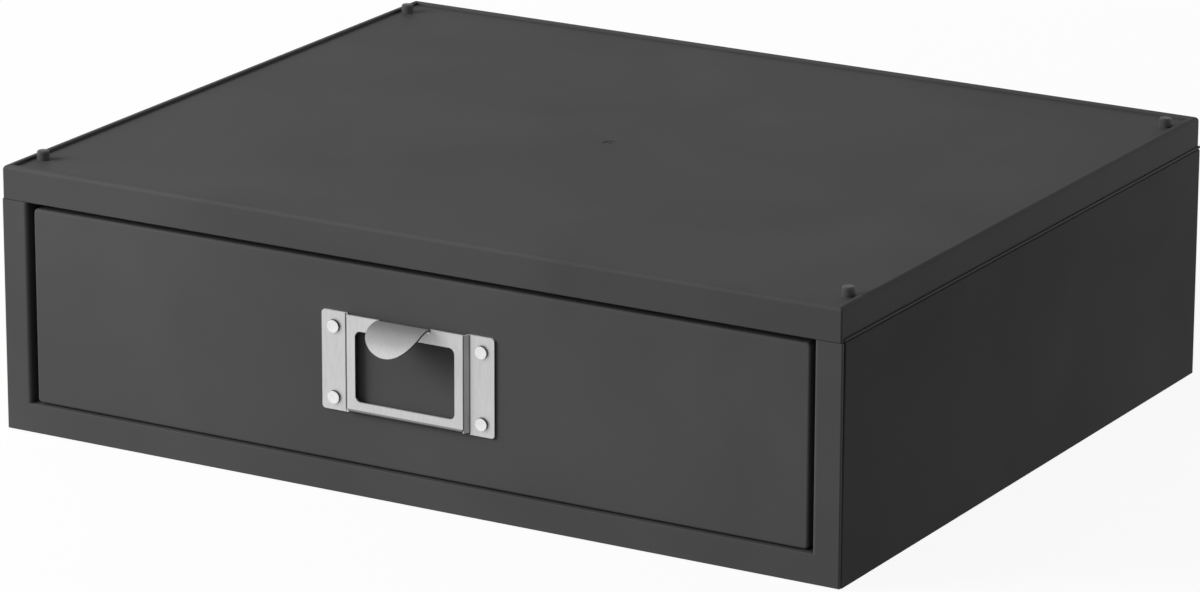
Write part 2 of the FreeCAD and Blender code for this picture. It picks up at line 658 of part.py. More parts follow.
# Side panel: a flat wall with a flange that carries the lid, and posts and blocks for its screws
def make_right_side_panel():
    panel = new_body("right_side_panel")
    edge = f"({front} + dims.frame_edge + dims.groove_foot)"
    edge_top = f"({front} + dims.frame_edge + dims.groove_top)"
    groove_height = "dims.groove_end"
    wall = [(edge, base_low), (back, base_low), (back, seam), (edge_top, seam), (edge, groove_height)]
    add(panel, "wall", "YZ", side_inner, half_width, wall)
    round_edges(panel, "rear_edge", "dims.panel_rear_round", {"x": half_width, "y": back})
    round_edges(panel, "front_and_top_edges", "dims.panel_round",
                {"x": half_width, "y": (front, jamb_back)}, {"x": half_width, "z": seam})

    flange_inner = f"({side_inner} - dims.flange_width)"
    into_wall = f"({side_inner} + dims.side_wall / 2)"
    flange_end = f"({back_inner} - dims.back_flange - dims.panel_gap)"
    add(panel, "flange", "XY", flange_low, seam,
        rectangle(flange_inner, into_wall, runner_front, flange_end))
    cut(panel, "lid_screw_holes", "XY", flange_low, seam,
        *grid([lid_screw_x], spread("dims.lid_screw_pitch"), clear_hole))

    # The upright rib stands in front of the back panel.
    rib_inner = f"({side_inner} - dims.back_rib_width)"
    rib_back = f"({back_inner} - dims.panel_gap)"
    add(panel, "back_rib", "XY", f"({base_top} + dims.panel_gap)", f"({flange_low} - dims.panel_gap)",
        rectangle(rib_inner, into_wall, f"({rib_back} - dims.back_rib)", rib_back))

    # The runner is screwed to three posts, and the base to three blocks.
    screw_ys = spread("dims.runner_screw_pitch")
    add(panel, "runner_posts", "YZ", web_outer, into_wall,
        *[rectangle(f"({y} - dims.runner_post / 2)", f"({y} + dims.runner_post / 2)",
                    runner_low, runner_high) for y in screw_ys])
    runner_bore_end = f"({web_inner} + dims.screw_length + dims.bore_spare)"
    cut(panel, "runner_bores", "YZ", web_outer, runner_bore_end,
        *[circle(y, runner_screw_z, bore) for y in screw_ys])
    block_ys = spread("dims.side_screw_pitch")
    add(panel, "base_blocks", "XY", boss_top, block_top,
        *[rectangle(f"({side_screw_x} - dims.block_width / 2)", into_wall,
                    f"({y} - dims.block_width / 2)", f"({y} + dims.block_width / 2)")
          for y in block_ys])
    cut(panel, "base_bores", "XY", boss_top, bore_end, *grid([side_screw_x], block_ys, bore))
    return panel


# Back panel: stands between the side panels, with a flange under the lid and seats for the bumpers
def make_back_panel():
    panel = new_body("back_panel")
    add(panel, "wall", "XZ", back_inner, back_outer,
        rectangle(minus(base_edge), base_edge, base_low, seam))
    sunk_half = f"({base_edge} - dims.back_frame)"
    cut(panel, "sunk_middle", "XZ", f"({back_outer} - dims.back_sink)", back_outer,
        rectangle(minus(sunk_half), sunk_half,
                  f"({base_low} + dims.back_frame)", f"({seam} - dims.back_frame)"))
    into_wall = f"({back_inner} + dims.side_wall / 2)"
    add(panel, "flange", "XY", flange_low, seam,
        rectangle(minus(base_edge), base_edge, f"({back_inner} - dims.back_flange)", into_wall))
    xs = spread("dims.end_screw_pitch")
    add(panel, "base_blocks", "XY", boss_top, block_top,
        *[rectangle(f"({x} - dims.block_width / 2)", f"({x} + dims.block_width / 2)",
                    f"({back_row} - dims.block_width / 2)", into_wall) for x in xs])
    cut(panel, "base_bores", "XY", boss_top, bore_end, *grid(xs, [back_row], bore))
    cut(panel, "bumper_holes", "XZ", back_inner, back_outer,
        *[circle(x, "dims.bumper_rise", "(dims.bumper_pin + 2 * dims.bumper_fit)")
          for x in pair("dims.bumper_half")])
    return panel


# Base: a ribbed floor with screw bosses, sockets for the pegs of a case below, and seats for feet
def make_base_panel():
    base = new_body("base_panel")
    base_front = f"({frame_back} + dims.panel_gap)"
    base_back = f"({back_inner} - dims.panel_gap)"
    add(base, "floor", "XY", base_low, base_top,
        rectangle(minus(base_edge), base_edge, base_front, base_back))
    rib_top = f"({base_top} + dims.base_rib_rise)"
    add(base, "long_ribs", "XY", base_top, rib_top,
        *[rectangle(f"({x} - dims.base_rib / 2)", f"({x} + dims.base_rib / 2)", base_front, base_back)
          for x in spread("dims.base_rib_pitch")])
    add(base, "cross_ribs", "XY", base_top, rib_top,
        *box_around(["0"], spread("dims.base_rib_pitch"), base_edge, "dims.base_rib / 2"))
    end_xs = spread("dims.end_screw_pitch")
    side_ys = spread("dims.side_screw_pitch")
    screw_places = [(end_xs, [end_row, back_row]), (pair(side_screw_x), side_ys)]
    socket_low = f"({base_low} + dims.socket_depth)"
    for index, (xs, ys) in enumerate(screw_places):
        add(base, f"screw_bosses_{index}", "XY", base_low, boss_top, *grid(xs, ys, "dims.boss_diameter"))
    add(base, "socket_bosses", "XY", base_low, f"({socket_low} + dims.socket_roof)",
        *grid(pair(peg_x), pair(peg_y), "dims.socket_boss"))
    for index, (xs, ys) in enumerate(screw_places):
        cut(base, f"screw_seats_{index}", "XY", base_low, base_seat,
            *grid(xs, ys, "(dims.screw_head + 2 * dims.head_seat)"))
        cut(base, f"screw_holes_{index}", "XY", base_seat, boss_top, *grid(xs, ys, clear_hole))
    cut(base, "sockets", "XY", base_low, socket_low,
        *grid(pair(peg_x), pair(peg_y), "(dims.peg_diameter + 2 * dims.socket_gap)"))
    cut(base, "foot_seats", "XY", base_low, f"({base_low} + dims.foot_recess)",
        *grid(pair(foot_x), pair(foot_y), "(dims.foot_diameter + 2 * dims.foot_fit)"))
    return base


# Rubber feet: stuck into round seats under the base
def make_foot_pads():
    pads = new_body("foot_pads")
    add(pads, "pad", "XY", "0", f"({base_low} + dims.foot_recess)",
        circle(foot_x, foot_y, "dims.foot_diameter"))
    repeat(pads, ("X", 2, f"2 * {foot_x}"), ("Y", 2, f"2 * {foot_y}"))
    return pads


# Rear bumpers: rubber buttons pushed through the back panel, where the closed drawer comes to rest
def make_rear_bumpers():
    bumpers = new_body("rear_bumpers")
    button_front = f"({back_inner} - dims.bumper_proud)"
    add(bumpers, "button", "XZ", button_front, back_inner,
        circle("dims.bumper_half", "dims.bumper_rise", "dims.bumper_diameter"))
    round_edges(bumpers, "button_edge", "dims.bumper_round", {"y": button_front})
    add(bumpers, "pin", "XZ", back_inner, f"({back_outer} - dims.back_sink)",
        circle("dims.bumper_half", "dims.bumper_rise", "dims.bumper_pin"))
    repeat(bumpers, ("X", 2, "2 * dims.bumper_half"))
    return bumpers


# Screws: self-tapping, pan-headed, with a cross recess
def make_screws(label, plane, seat, direction, x, y, *rows):
    """A group of like screws whose heads bear on the place seat and whose tips point in direction."""
    screws = new_body(label)
    head_top = f"({seat} - {direction} * dims.screw_head_height)"
    recess_floor = f"({head_top} + {direction} * dims.recess_depth)"
    tip = f"({seat} + {direction} * dims.screw_length)"
    axis = {"XY": "z", "XZ": "y", "YZ": "x"}[plane]
    add(screws, "head", plane, head_top, seat, circle(x, y, "dims.screw_head"))
    round_edges(screws, "head_edge", "dims.screw_head_round", {axis: head_top})
    add(screws, "shank", plane, seat, tip, circle(x, y, "dims.screw_shank"))
    round_edges(screws, "tip_edge", "dims.screw_shank / 4", {axis: tip})
    cut(screws, "cross_recess", plane, head_top, recess_floor, cross(x, y))
    repeat(screws, *rows)
    return screws


def cross(x, y):
    """The outline of a cross recess about a point."""
    arm = "dims.recess_width / 2"
    slot = "dims.recess_slot / 2"
    quarter = [(arm, slot), (slot, slot), (slot, arm)]
    outline = []
    for sign_x, sign_y in ((1, 1), (-1, 1), (-1, -1), (1, -1)):
        points = quarter if sign_x == sign_y else quarter[::-1]
        outline += [(f"({x} + {sign_x} * {across})", f"({y} + {sign_y} * {up})") for across, up in points]
    return outline


# Runner: a channel screwed to the side panel's posts, with a stop block at its front end
def make_right_runner():
    runner = new_body("right_runner")
    guard_top = f"({channel_high} + dims.runner_wall)"
    section = [
        (ledge, runner_low),
        (web_outer, runner_low),
        (web_outer, runner_high),
        (web_inner, runner_high),
        (web_inner, guard_top),
        (ledge, guard_top),
        (ledge, channel_high),
        (web_inner, channel_high),
        (web_inner, channel_low),
        (ledge, channel_low),
    ]
    add(runner, "channel", "XZ", runner_front, runner_back, section)
    add(runner, "stop", "XZ", runner_front, stop_back,
        rectangle(f"({rib_half} + dims.stop_clear)", f"({web_inner} + dims.runner_wall / 2)",
                  f"({channel_low} - dims.runner_wall / 2)", f"({channel_high} + dims.runner_wall / 2)"))
    cut(runner, "screw_holes", "YZ", web_inner, web_outer,
        *[circle(y, runner_screw_z, clear_hole) for y in spread("dims.runner_screw_pitch")])
    return runner


# Drawer front: a hollow moulding with ribs and bosses, screwed to the tray from inside
def make_drawer_front():
    moulding = new_body("drawer_front")
    add(moulding, "block", "XZ", face, moulding_back,
        rectangle(minus(face_half), face_half, face_low, face_high))
    corners = [{"x": x, "z": z} for x in pair(face_half) for z in (face_low, face_high)]
    round_edges(moulding, "corners", "dims.front_corner", *corners)
    edges = [{"x": x, "y": face} for x in pair(face_half)]
    edges += [{"z": z, "y": face} for z in (face_low, face_high)]
    round_edges(moulding, "front_edges", "dims.front_round", *edges)
    hollow_half = f"({face_half} - dims.front_skin)"
    hollow_low = f"({face_low} + dims.front_skin)"
    hollow_high = f"({face_high} - dims.front_skin)"
    cut(moulding, "hollow", "XZ", skin_back, moulding_back,
        rectangle(minus(hollow_half), hollow_half, hollow_low, hollow_high))
    add(moulding, "upright_ribs", "XZ", skin_back, moulding_back,
        *[rectangle(f"({x} - dims.front_rib / 2)", f"({x} + dims.front_rib / 2)", hollow_low, hollow_high)
          for x in pair("dims.front_rib_pitch")])
    add(moulding, "cross_rib", "XZ", skin_back, moulding_back,
        rectangle(minus(hollow_half), hollow_half,
                  f"({face_middle} - dims.front_rib / 2)", f"({face_middle} + dims.front_rib / 2)"))
    screws = [circle(x, z, "dims.front_boss") for x in pair("dims.front_screw_half") for z in front_screw_zs]
    bores = [circle(x, z, bore) for x in pair("dims.front_screw_half") for z in front_screw_zs]
    add(moulding, "screw_bosses", "XZ", skin_back, moulding_back, *screws)
    cut(moulding, "screw_bores", "XZ", f"({front_screw_seat} - dims.screw_length - dims.bore_spare)",
        moulding_back, *bores)
    cut(moulding, "rivet_holes", "XZ", face, skin_back, *rivet_holes())
    return moulding


def rivet_holes():
    return [
        circle(x, z, "(dims.rivet_shank + 2 * dims.rivet_fit)")
        for x in pair("(dims.rivet_pitch_across / 2)")
        for z in (rivet_low, rivet_high)
    ]


# Drawer tray: a deep moulded tray with a beaded rim and a sliding rib along each side
def make_drawer_tray():
    tray = new_body("drawer_tray")
    inner_half = f"({tray_half} - dims.tray_wall)"
    inner_front = f"({moulding_back} + dims.tray_wall)"
    inner_back = f"({tray_back} - dims.tray_wall)"
    floor_top = f"({tray_low} + dims.tray_wall)"
    add(tray, "block", "XY", tray_low, tray_top,
        rectangle(minus(tray_half), tray_half, moulding_back, tray_back))
    round_edges(tray, "rear_corners", "dims.tray_corner",
                *[{"x": x, "y": tray_back} for x in pair(tray_half)])
    bead_half = f"({tray_half} + dims.rim_bead)"
    bead_back = f"({tray_back} + dims.rim_bead)"
    add(tray, "rim_bead", "XY", f"({tray_top} - dims.rim_bead_height)", tray_top,
        rectangle(minus(bead_half), bead_half, moulding_back, bead_back))
    round_edges(tray, "bead_corners", "dims.tray_corner + dims.rim_bead",
                *[{"x": x, "y": bead_back} for x in pair(bead_half)])
    cut(tray, "hollow", "XY", floor_top, tray_top,
        rectangle(minus(inner_half), inner_half, inner_front, inner_back))
    inside = [{"x": x, "y": y} for x in pair(inner_half) for y in (inner_front, inner_back)]
    round_edges(tray, "inner_corners", "dims.tray_corner - dims.tray_wall", *inside)
    floor_edges = [{"x": x, "z": floor_top} for x in pair(inner_half)]
    floor_edges += [{"y": y, "z": floor_top} for y in (inner_front, inner_back)]
    round_edges(tray, "cove", "dims.tray_cove", *floor_edges)

    # The sliding ribs end where the glides begin, and the glides' pins sit in the walls.
    rib_root = f"({tray_half} - dims.tray_wall / 2)"
    rib_under = f"({rib_high} - dims.rib_skin)"
    rib_side = f"({rib_half} - dims.rib_skin)"
    for side in (1, -1):
        section = [
            (rib_root, rib_under),
            (rib_root, rib_high),
            (rib_half, rib_high),
            (rib_half, rib_low),
            (rib_side, rib_low),
            (rib_side, rib_under),
        ]
        add(tray, f"sliding_rib_{'right' if side == 1 else 'left'}", "XZ",
            moulding_back, f"({glide_front} - dims.run_gap)",
            [(on_side(side, x), z) for x, z in section])
    pins = [circle(y, glide_pin_z, "(dims.glide_pin + 2 * dims.glide_pin_fit)") for y in glide_pin_ys]
    for side in (1, -1):
        start, end = on_side(side, inner_half), on_side(side, tray_half)
        cut(tray, f"glide_holes_{'right' if side == 1 else 'left'}", "YZ", start, end, *pins)
    cut(tray, "front_screw_holes", "XZ", moulding_back, inner_front,
        *[circle(x, z, clear_hole) for x in pair("dims.front_screw_half") for z in front_screw_zs])
    return tray


# Glide: a nylon shoe pinned to the tray's wall, which runs in the channel and meets the stop
def make_right_glide():
    glide = new_body("right_glide")
    outer = f"({web_inner} - dims.glide_side_gap)"
    low = f"({channel_low} + dims.glide_gap)"
    high = f"({channel_high} - dims.glide_gap)"
    add(glide, "shoe", "XZ", glide_front, glide_back, rectangle(tray_half, outer, low, high))
    ends = [{"y": glide_back, "z": z} for z in (low, high)] + [{"y": glide_back, "x": outer}]
    shoe = glide.Tip
    nose = glide.newObject("PartDesign::Chamfer", "rear_nose")
    nose.Base = (shoe, edges_at(shoe, *ends))
    nose.setExpression("Size", "dims.glide_nose")
    add(glide, "pins", "YZ", f"({tray_half} - dims.tray_wall)", tray_half,
        *[circle(y, glide_pin_z, "dims.glide_pin") for y in glide_pin_ys])
    return glide


# Label holder: one pressed sheet of steel with a window, two riveted flanges and a curled finger tab
def make_label_holder():
    holder = new_body("label_holder")
    bend_shift = (
        "(dims.sheet * (sqrt(dims.joggle_run ^ 2 + dims.plate_raise ^ 2) - dims.joggle_run)"
        " / dims.plate_raise)"
    )
    flange_edge = "(dims.plate_width / 2)"
    raised_inner = f"({raised_half} - {bend_shift})"
    joggle_inner = f"({joggle_half} - {bend_shift})"
    half_section = [
        (raised_half, raised_front),
        (joggle_half, plate_front),
        (flange_edge, plate_front),
        (flange_edge, face),
        (joggle_inner, face),
        (raised_inner, raised_back),
    ]
    section = half_section + [(minus(x), y) for x, y in reversed(half_section)]
    add(holder, "sheet", "XY", plate_low, plate_high, section)
    bends = [{"x": x, "y": raised_front} for x in pair(raised_half)]
    bends += [{"x": x, "y": plate_front} for x in pair(joggle_half)]
    round_edges(holder, "bends", "dims.bend_round", *bends)

    window_half = "(dims.window_width / 2)"
    window_low = f"({face_middle} - dims.window_height / 2)"
    window_high = f"({face_middle} + dims.window_height / 2)"
    cut(holder, "window", "XZ", raised_front, raised_back,
        rectangle(minus(window_half), window_half, window_low, window_high))
    corners = [{"x": x, "z": z} for x in pair(window_half) for z in (window_low, window_high)]
    round_edges(holder, "window_corners", "dims.window_corner", *corners)
    outside = [{"x": x, "z": z} for x in pair(flange_edge) for z in (plate_low, plate_high)]
    round_edges(holder, "plate_corners", "dims.plate_corner", *outside)
    cut(holder, "rivet_holes", "XZ", plate_front, face, *rivet_holes())

    # Below the window the sheet turns back towards the drawer's front, between two notches.
    lip_foot = f"({plate_low} + dims.lip_up)"
    notch_edge = f"({joggle_half} + dims.relief)"
    cut(holder, "lip_clearance", "XZ", raised_front, face,
        rectangle(minus(notch_edge), notch_edge, plate_low, lip_foot))
    lip_end = f"({face} - dims.lip_play)"
    lip_top = f"({lip_foot} + dims.sheet)"
    add(holder, "bottom_lip", "XY", lip_foot, lip_top,
        rectangle(minus(raised_inner), raised_inner, raised_front, lip_end))
    cut(holder, "notches", "XZ", raised_front, face,
        *[rectangle(*sorted((on_side(side, raised_inner), on_side(side, notch_edge)), key=number),
                    lip_foot, f"({lip_foot} + dims.relief_height)") for side in (1, -1)])
    round_edges(holder, "lip_inner_bend", "dims.lip_bend - dims.sheet", {"y": raised_back, "z": lip_top})
    round_edges(holder, "lip_outer_bend", "dims.lip_bend", {"y": raised_front, "z": lip_foot})

    # Above the window the sheet bends forward and curls down into the finger tab.
    cut(holder, "tab_root", "XZ", raised_front, raised_back,
        rectangle(minus(tab_half), tab_half, bend_centre, plate_high))
    turn(holder, "tab_bend_turn", bend_centre, "dims.tab_bend", 90, True)
    turn(holder, "tab_curl", curl_centre, "dims.tab_radius", "dims.tab_sweep_degrees", False)
    round_tab_end(holder)
    return holder


def round_tab_end(holder):
    """Cuts the tab's end to a half circle, seen along a line through the curl's axis."""
    sketch = holder.newObject("Sketcher::SketchObject", "tab_end_outline")
    sketch.AttachmentSupport = [(origin_feature(holder, "XY_Plane"), "")]
    sketch.MapMode = "FlatFace"
    tilt = FreeCAD.Rotation(FreeCAD.Vector(1, 0, 0), number("dims.tab_cut_degrees"))
    sketch.AttachmentOffset = FreeCAD.Placement(FreeCAD.Vector(), tilt)
    sketch.setExpression("AttachmentOffset.Rotation.Angle", "dims.tab_cut_degrees")
    sketch.setExpression("AttachmentOffset.Base.y", tab_plane)
    sketch.setExpression("AttachmentOffset.Base.z", curl_centre)
    tip = "(-dims.tab_radius * sin(dims.tab_sweep_degrees - dims.tab_cut_degrees))"
    centre = f"({tip} + {tab_half})"
    outside = f"({tab_half} + dims.sheet)"
    below = f"({tip} - dims.sheet)"
    corners = [
        (minus(tab_half), centre),
        (minus(outside), centre),
        (minus(outside), below),
        (outside, below),
        (outside, centre),
        (tab_half, centre),
    ]
    points = [FreeCAD.Vector(number(x), number(y), 0) for x, y in corners]
    for start, end in zip(points, points[1:]):
        sketch.addGeometry(Part.LineSegment(start, end), False)
    lowest = FreeCAD.Vector(0, number(tip), 0)
    arc = sketch.addGeometry(Part.Arc(points[0], lowest, points[-1]), False)
    for index, (x, y) in enumerate(corners[:-1]):
        hold_point(sketch, index, 1, x, y)
    hold_point(sketch, arc - 1, 2, *corners[-1])
    for index in range(arc - 1):
        sketch.addConstraint(Sketcher.Constraint("Coincident", index, 2, index + 1, 1))
    sketch.addConstraint(Sketcher.Constraint("Coincident", arc, 1, 0, 1))
    sketch.addConstraint(Sketcher.Constraint("Coincident", arc, 2, arc - 1, 2))
    index = sketch.addConstraint(Sketcher.Constraint("DistanceY", -1, 1, arc, 3, number(centre)))
    sketch.setExpression(f"Constraints[{index}]", centre)
    pocket = holder.newObject("PartDesign::Pocket", "tab_end")
    pocket.Profile = sketch
    pocket.Reversed = True
    pocket.setExpression("Length", "dims.tab_radius + dims.sheet")


def turn(holder, name, centre, radius, angle, backwards):
    """Turns the tab's upright section about an axis along X at the height centre."""
    section = holder.newObject("Sketcher::SketchObject", f"{name}_section")
    section.AttachmentSupport = [(origin_feature(holder, "XZ_Plane"), "")]
    section.MapMode = "FlatFace"
    section.setExpression("AttachmentOffset.Base.y", centre)
    section.setExpression("AttachmentOffset.Base.z", minus(tab_plane))
    draw(section, rectangle(minus(tab_half), tab_half, f"({radius} - dims.sheet)", radius))
    turned = holder.newObject("PartDesign::Revolution", name)
    turned.Profile = section
    turned.ReferenceAxis = (section, ["H_Axis"])
    turned.Reversed = backwards
    if isinstance(angle, str):
        turned.setExpression("Angle", angle)
    else:
        turned.Angle = angle
    return turned


# Rivets: through the holder, the drawer's front and a washer, closed behind it
def make_holder_rivets():
    rivets = new_body("holder_rivets")
    x = "(dims.rivet_pitch_across / 2)"
    head_top = f"({plate_front} - dims.rivet_head_height)"
    washer_back = f"({skin_back} + dims.washer_thickness)"
    add(rivets, "head", "XZ", head_top, plate_front, circle(x, rivet_high, "dims.rivet_head"))
    round_edges(rivets, "head_edge", "dims.rivet_round", {"y": head_top})
    add(rivets, "shank", "XZ", plate_front, washer_back, circle(x, rivet_high, "dims.rivet_shank"))
    add(rivets, "tail", "XZ", washer_back, f"({washer_back} + dims.rivet_tail_height)",
        circle(x, rivet_high, "dims.rivet_tail"))
    repeat(rivets, ("X", 2, "dims.rivet_pitch_across"), ("Z", 2, "dims.rivet_pitch_up"))
    return rivets


# Backing washers: spread each rivet's load over the moulded skin
def make_rivet_washers():
    washers = new_body("rivet_washers")
    x = "(dims.rivet_pitch_across / 2)"
    add(washers, "washer", "XZ", skin_back, f"({skin_back} + dims.washer_thickness)",
        circle(x, rivet_high, "dims.washer_diameter"),
        circle(x, rivet_high, "(dims.rivet_shank + 2 * dims.rivet_fit)"))
    repeat(washers, ("X", 2, "dims.rivet_pitch_across"), ("Z", 2, "dims.rivet_pitch_up"))
    return washers


right_side_panel = make_right_side_panel()
right_runner = make_right_runner()
right_glide = make_right_glide()
pieces = [
    make_top_panel(),
    make_stacking_pegs(),
    make_front_frame(),
    right_side_panel,
    mirror_image("left_side_panel", right_side_panel),
    make_back_panel(),
    make_base_panel(),
    make_foot_pads(),
    make_rear_bumpers(),
    right_runner,
    mirror_image("left_runner", right_runner),
    make_drawer_front(),
    make_drawer_tray(),
    right_glide,
    mirror_image("left_glide", right_glide),
    make_label_holder(),
    make_holder_rivets(),
    make_rivet_washers(),
    make_screws("lid_screws", "XY", flange_low, 1, lid_screw_x, "dims.lid_screw_pitch",
                ("X", 2, f"2 * {lid_screw_x}"), ("Y", 3, "2 * dims.lid_screw_pitch")),
    make_screws("base_end_screws", "XY", base_seat, 1, "dims.end_screw_pitch", back_row,
                ("X", 3, "2 * dims.end_screw_pitch"), ("Y", 2, f"{back_row} - {end_row}")),
    make_screws("base_side_screws", "XY", base_seat, 1, side_screw_x, "dims.side_screw_pitch",
                ("X", 2, f"2 * {side_screw_x}"), ("Y", 3, "2 * dims.side_screw_pitch")),
    make_screws("runner_screws", "YZ", web_inner, 1, "dims.runner_screw_pitch", runner_screw_z,
                ("Y", 3, "2 * dims.runner_screw_pitch"), "YZ"),
    make_screws("front_screws", "XZ", front_screw_seat, -1, "dims.front_screw_half", front_screw_zs[1],
                ("X", 2, "2 * dims.front_screw_half"), ("Z", 2, "2 * dims.front_screw_rise")),
]

doc.recompute()
for item in doc.Objects:
    if "Invalid" in item.State or "Error" in item.State:
        raise RuntimeError(f"{item.Label} did not compute: {item.State}")

os.makedirs(PARTS_FOLDER, exist_ok=True)
for piece in pieces:
    if piece.Shape.isNull() or not piece.Shape.isValid():
        raise RuntimeError(f"{piece.Label} has no valid shape")
    piece.Shape.exportStep(f"{PARTS_FOLDER}/{piece.Label}.step")
    print(f"{piece.Label}: {len(piece.Shape.Solids)} solids, {piece.Shape.Volume:.1f} mm3")
print(f"the drawer travels {number(drawer_travel):.1f} mm")
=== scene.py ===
from math import asin, cos, pi, radians, sin

import bmesh
import bpy
from mathutils import Matrix, Vector


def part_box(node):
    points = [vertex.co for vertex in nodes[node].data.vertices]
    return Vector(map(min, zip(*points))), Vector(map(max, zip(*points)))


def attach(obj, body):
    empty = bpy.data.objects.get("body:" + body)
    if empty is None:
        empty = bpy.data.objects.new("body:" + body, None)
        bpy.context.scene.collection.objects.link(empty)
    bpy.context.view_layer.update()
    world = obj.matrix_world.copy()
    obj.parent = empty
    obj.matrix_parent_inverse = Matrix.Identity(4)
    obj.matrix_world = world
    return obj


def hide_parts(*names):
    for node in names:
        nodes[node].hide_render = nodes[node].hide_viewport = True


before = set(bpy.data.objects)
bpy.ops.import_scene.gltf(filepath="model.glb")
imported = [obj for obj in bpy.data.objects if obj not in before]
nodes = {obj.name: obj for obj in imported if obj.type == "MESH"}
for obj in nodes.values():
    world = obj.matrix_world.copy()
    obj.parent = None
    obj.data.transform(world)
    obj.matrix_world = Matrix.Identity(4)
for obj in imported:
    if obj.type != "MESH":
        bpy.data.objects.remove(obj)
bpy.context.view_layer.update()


# ---- Front frame --------------------------------------------------------------------------------
# Two posts and a bottom rail, moulded in one piece, that give the case its face.
# Charcoal ABS from a fine spark-eroded mould: matt, with a grain that only shows close to.

def linear(colour):
    """The linear colour, with alpha, of an sRGB hex value."""
    values = [int(colour[i:i + 2], 16) / 255 for i in (1, 3, 5)]
    return [v / 12.92 if v <= 0.04045 else ((v + 0.055) / 1.055) ** 2.4 for v in values] + [1]


def add_node(material, kind, inputs={}, **settings):
    """Adds one shader node with its settings, and its inputs as values or as sockets to join."""
    tree = material.node_tree
    added = tree.nodes.new("ShaderNode" + kind)
    for name, value in settings.items():
        setattr(added, name, value)
    for socket, value in inputs.items():
        if isinstance(value, bpy.types.NodeSocket):
            tree.links.new(value, added.inputs[socket])
        else:
            added.inputs[socket].default_value = value
    return added


def new_material(name):
    """An empty material under that name."""
    material = bpy.data.materials.new(name)
    material.use_nodes = True
    material.node_tree.nodes.clear()
    return material


def moulded_plastic(name, dark, light, roughness=0.7, grain_mm=0.5, gloss=0.2):
    """A moulded thermoplastic. The melt's flow leaves slow, faint changes of tone across a
    moulding, and the eroded mould leaves a fine grain that breaks up its gloss."""
    flow_mm = 70
    material = new_material(name)
    place = add_node(material, "TexCoord").outputs["Object"]
    flow = add_node(material, "TexNoise", {"Vector": place, "Scale": 1000 / flow_mm, "Detail": 2,
                                           "Distortion": 0.6})
    # Real spark grain is about 0.1 mm across; half a millimetre is the finest that shows here.
    grain = add_node(material, "TexNoise", {"Vector": place, "Scale": 1000 / grain_mm, "Detail": 2})
    tone = add_node(material, "Math", {0: grain.outputs["Fac"], 1: 0.3, 2: flow.outputs["Fac"]},
                    operation="MULTIPLY_ADD")
    share = add_node(material, "MapRange", {"Value": tone.outputs[0], "From Min": 0.4,
                                            "From Max": 0.9})
    colour = add_node(material, "Mix", {0: share.outputs[0], 6: linear(dark), 7: linear(light)},
                      data_type="RGBA")
    rough = add_node(material, "MapRange", {"Value": grain.outputs["Fac"],
                                            "To Min": roughness - 0.1, "To Max": roughness + 0.1})
    bump = add_node(material, "Bump", {"Height": grain.outputs["Fac"], "Strength": 0.25,
                                       "Distance": 0.00003})
    surface = add_node(material, "BsdfPrincipled", {
        "Base Color": colour.outputs[2], "Roughness": rough.outputs[0],
        "Normal": bump.outputs[0], "IOR": 1.53, "Specular IOR Level": gloss})
    add_node(material, "OutputMaterial", {"Surface": surface.outputs[0]})
    return material


def finish_node(name, material):
    """Gives a CAD node its material."""
    mesh = nodes[name].data
    mesh.materials.clear()
    mesh.materials.append(material)


charcoal_abs = moulded_plastic("charcoal_abs_spark_grain", "#444444", "#4B4B4B")
finish_node("front_frame", charcoal_abs)


# ---- Side panels and back panel -----------------------------------------------------------------
# Three flat walls of the same charcoal ABS, locked into the frame, the base and the lid.
# Their wide flat faces come from a coarser mould surface than the frame's, so they are duller.

wall_abs = moulded_plastic("charcoal_abs_wall_grain", "#434343", "#4A4A4A", 0.72, 0.6, 0.03)
for name in ("right_side_panel", "left_side_panel", "back_panel"):
    finish_node(name, wall_abs)


# ---- Base ---------------------------------------------------------------------------------------
# The floor of the case, screwed up into the walls, with sockets for another unit's pegs.
# It is never seen in use, so its mould is left rougher and its regrind a little darker.

finish_node("base_panel", moulded_plastic("charcoal_abs_regrind", "#363636", "#424242", 0.8, 0.8))


# ---- Rubber feet and rear bumpers ---------------------------------------------------------------
# Punched discs of black rubber, glued into recesses: four under the base, two where the drawer
# ends its travel. Rubber is close to black and quite dull, and picks up a pale bloom.

black_rubber = moulded_plastic("punched_black_rubber", "#141414", "#202020", 0.82, 0.9, 0.3)
for name in ("foot_pads", "rear_bumpers"):
    finish_node(name, black_rubber)


# ---- Lid ----------------------------------------------------------------------------------------
# The top of the case, with a raised rim round its edge that keeps a stacked unit in place.
# Charcoal ABS again, from the finest grained mould of the set, because it faces the user.

lid_abs = moulded_plastic("charcoal_abs_lid_grain", "#474747", "#4D4D4D", 0.68, 0.45, 0.06)
finish_node("top_panel", lid_abs)


# ---- Stacking pegs ------------------------------------------------------------------------------
# Four turned pins, pressed into the lid near its corners. Solid acetal in the case's colour:
# it is denser than ABS and comes off the lathe a little glossier.

turned_acetal = moulded_plastic("turned_charcoal_acetal", "#3E3E3E", "#484848", 0.5, 0.4, 0.3)
finish_node("stacking_pegs", turned_acetal)


# ---- Drawer runners -----------------------------------------------------------------------------
# One channel screwed to each side wall, with the stop block that the drawer's glide meets.
# Acetal, moulded nearly black and slick, so that the drawer slides on it dry.

slick_acetal = moulded_plastic("slick_black_acetal", "#262626", "#303030", 0.42, 0.5, 0.4)
for name in ("left_runner", "right_runner"):
    finish_node(name, slick_acetal)


# ---- Glides -------------------------------------------------------------------------------------
# A shoe pinned to each side of the tray, running in its channel. Undyed nylon: a warm
# off-white that is a little waxy.

natural_nylon = moulded_plastic("undyed_nylon", "#D2CDBE", "#DFDBCE", 0.5, 0.7, 0.4)
for name in ("left_glide", "right_glide"):
    finish_node(name, natural_nylon)


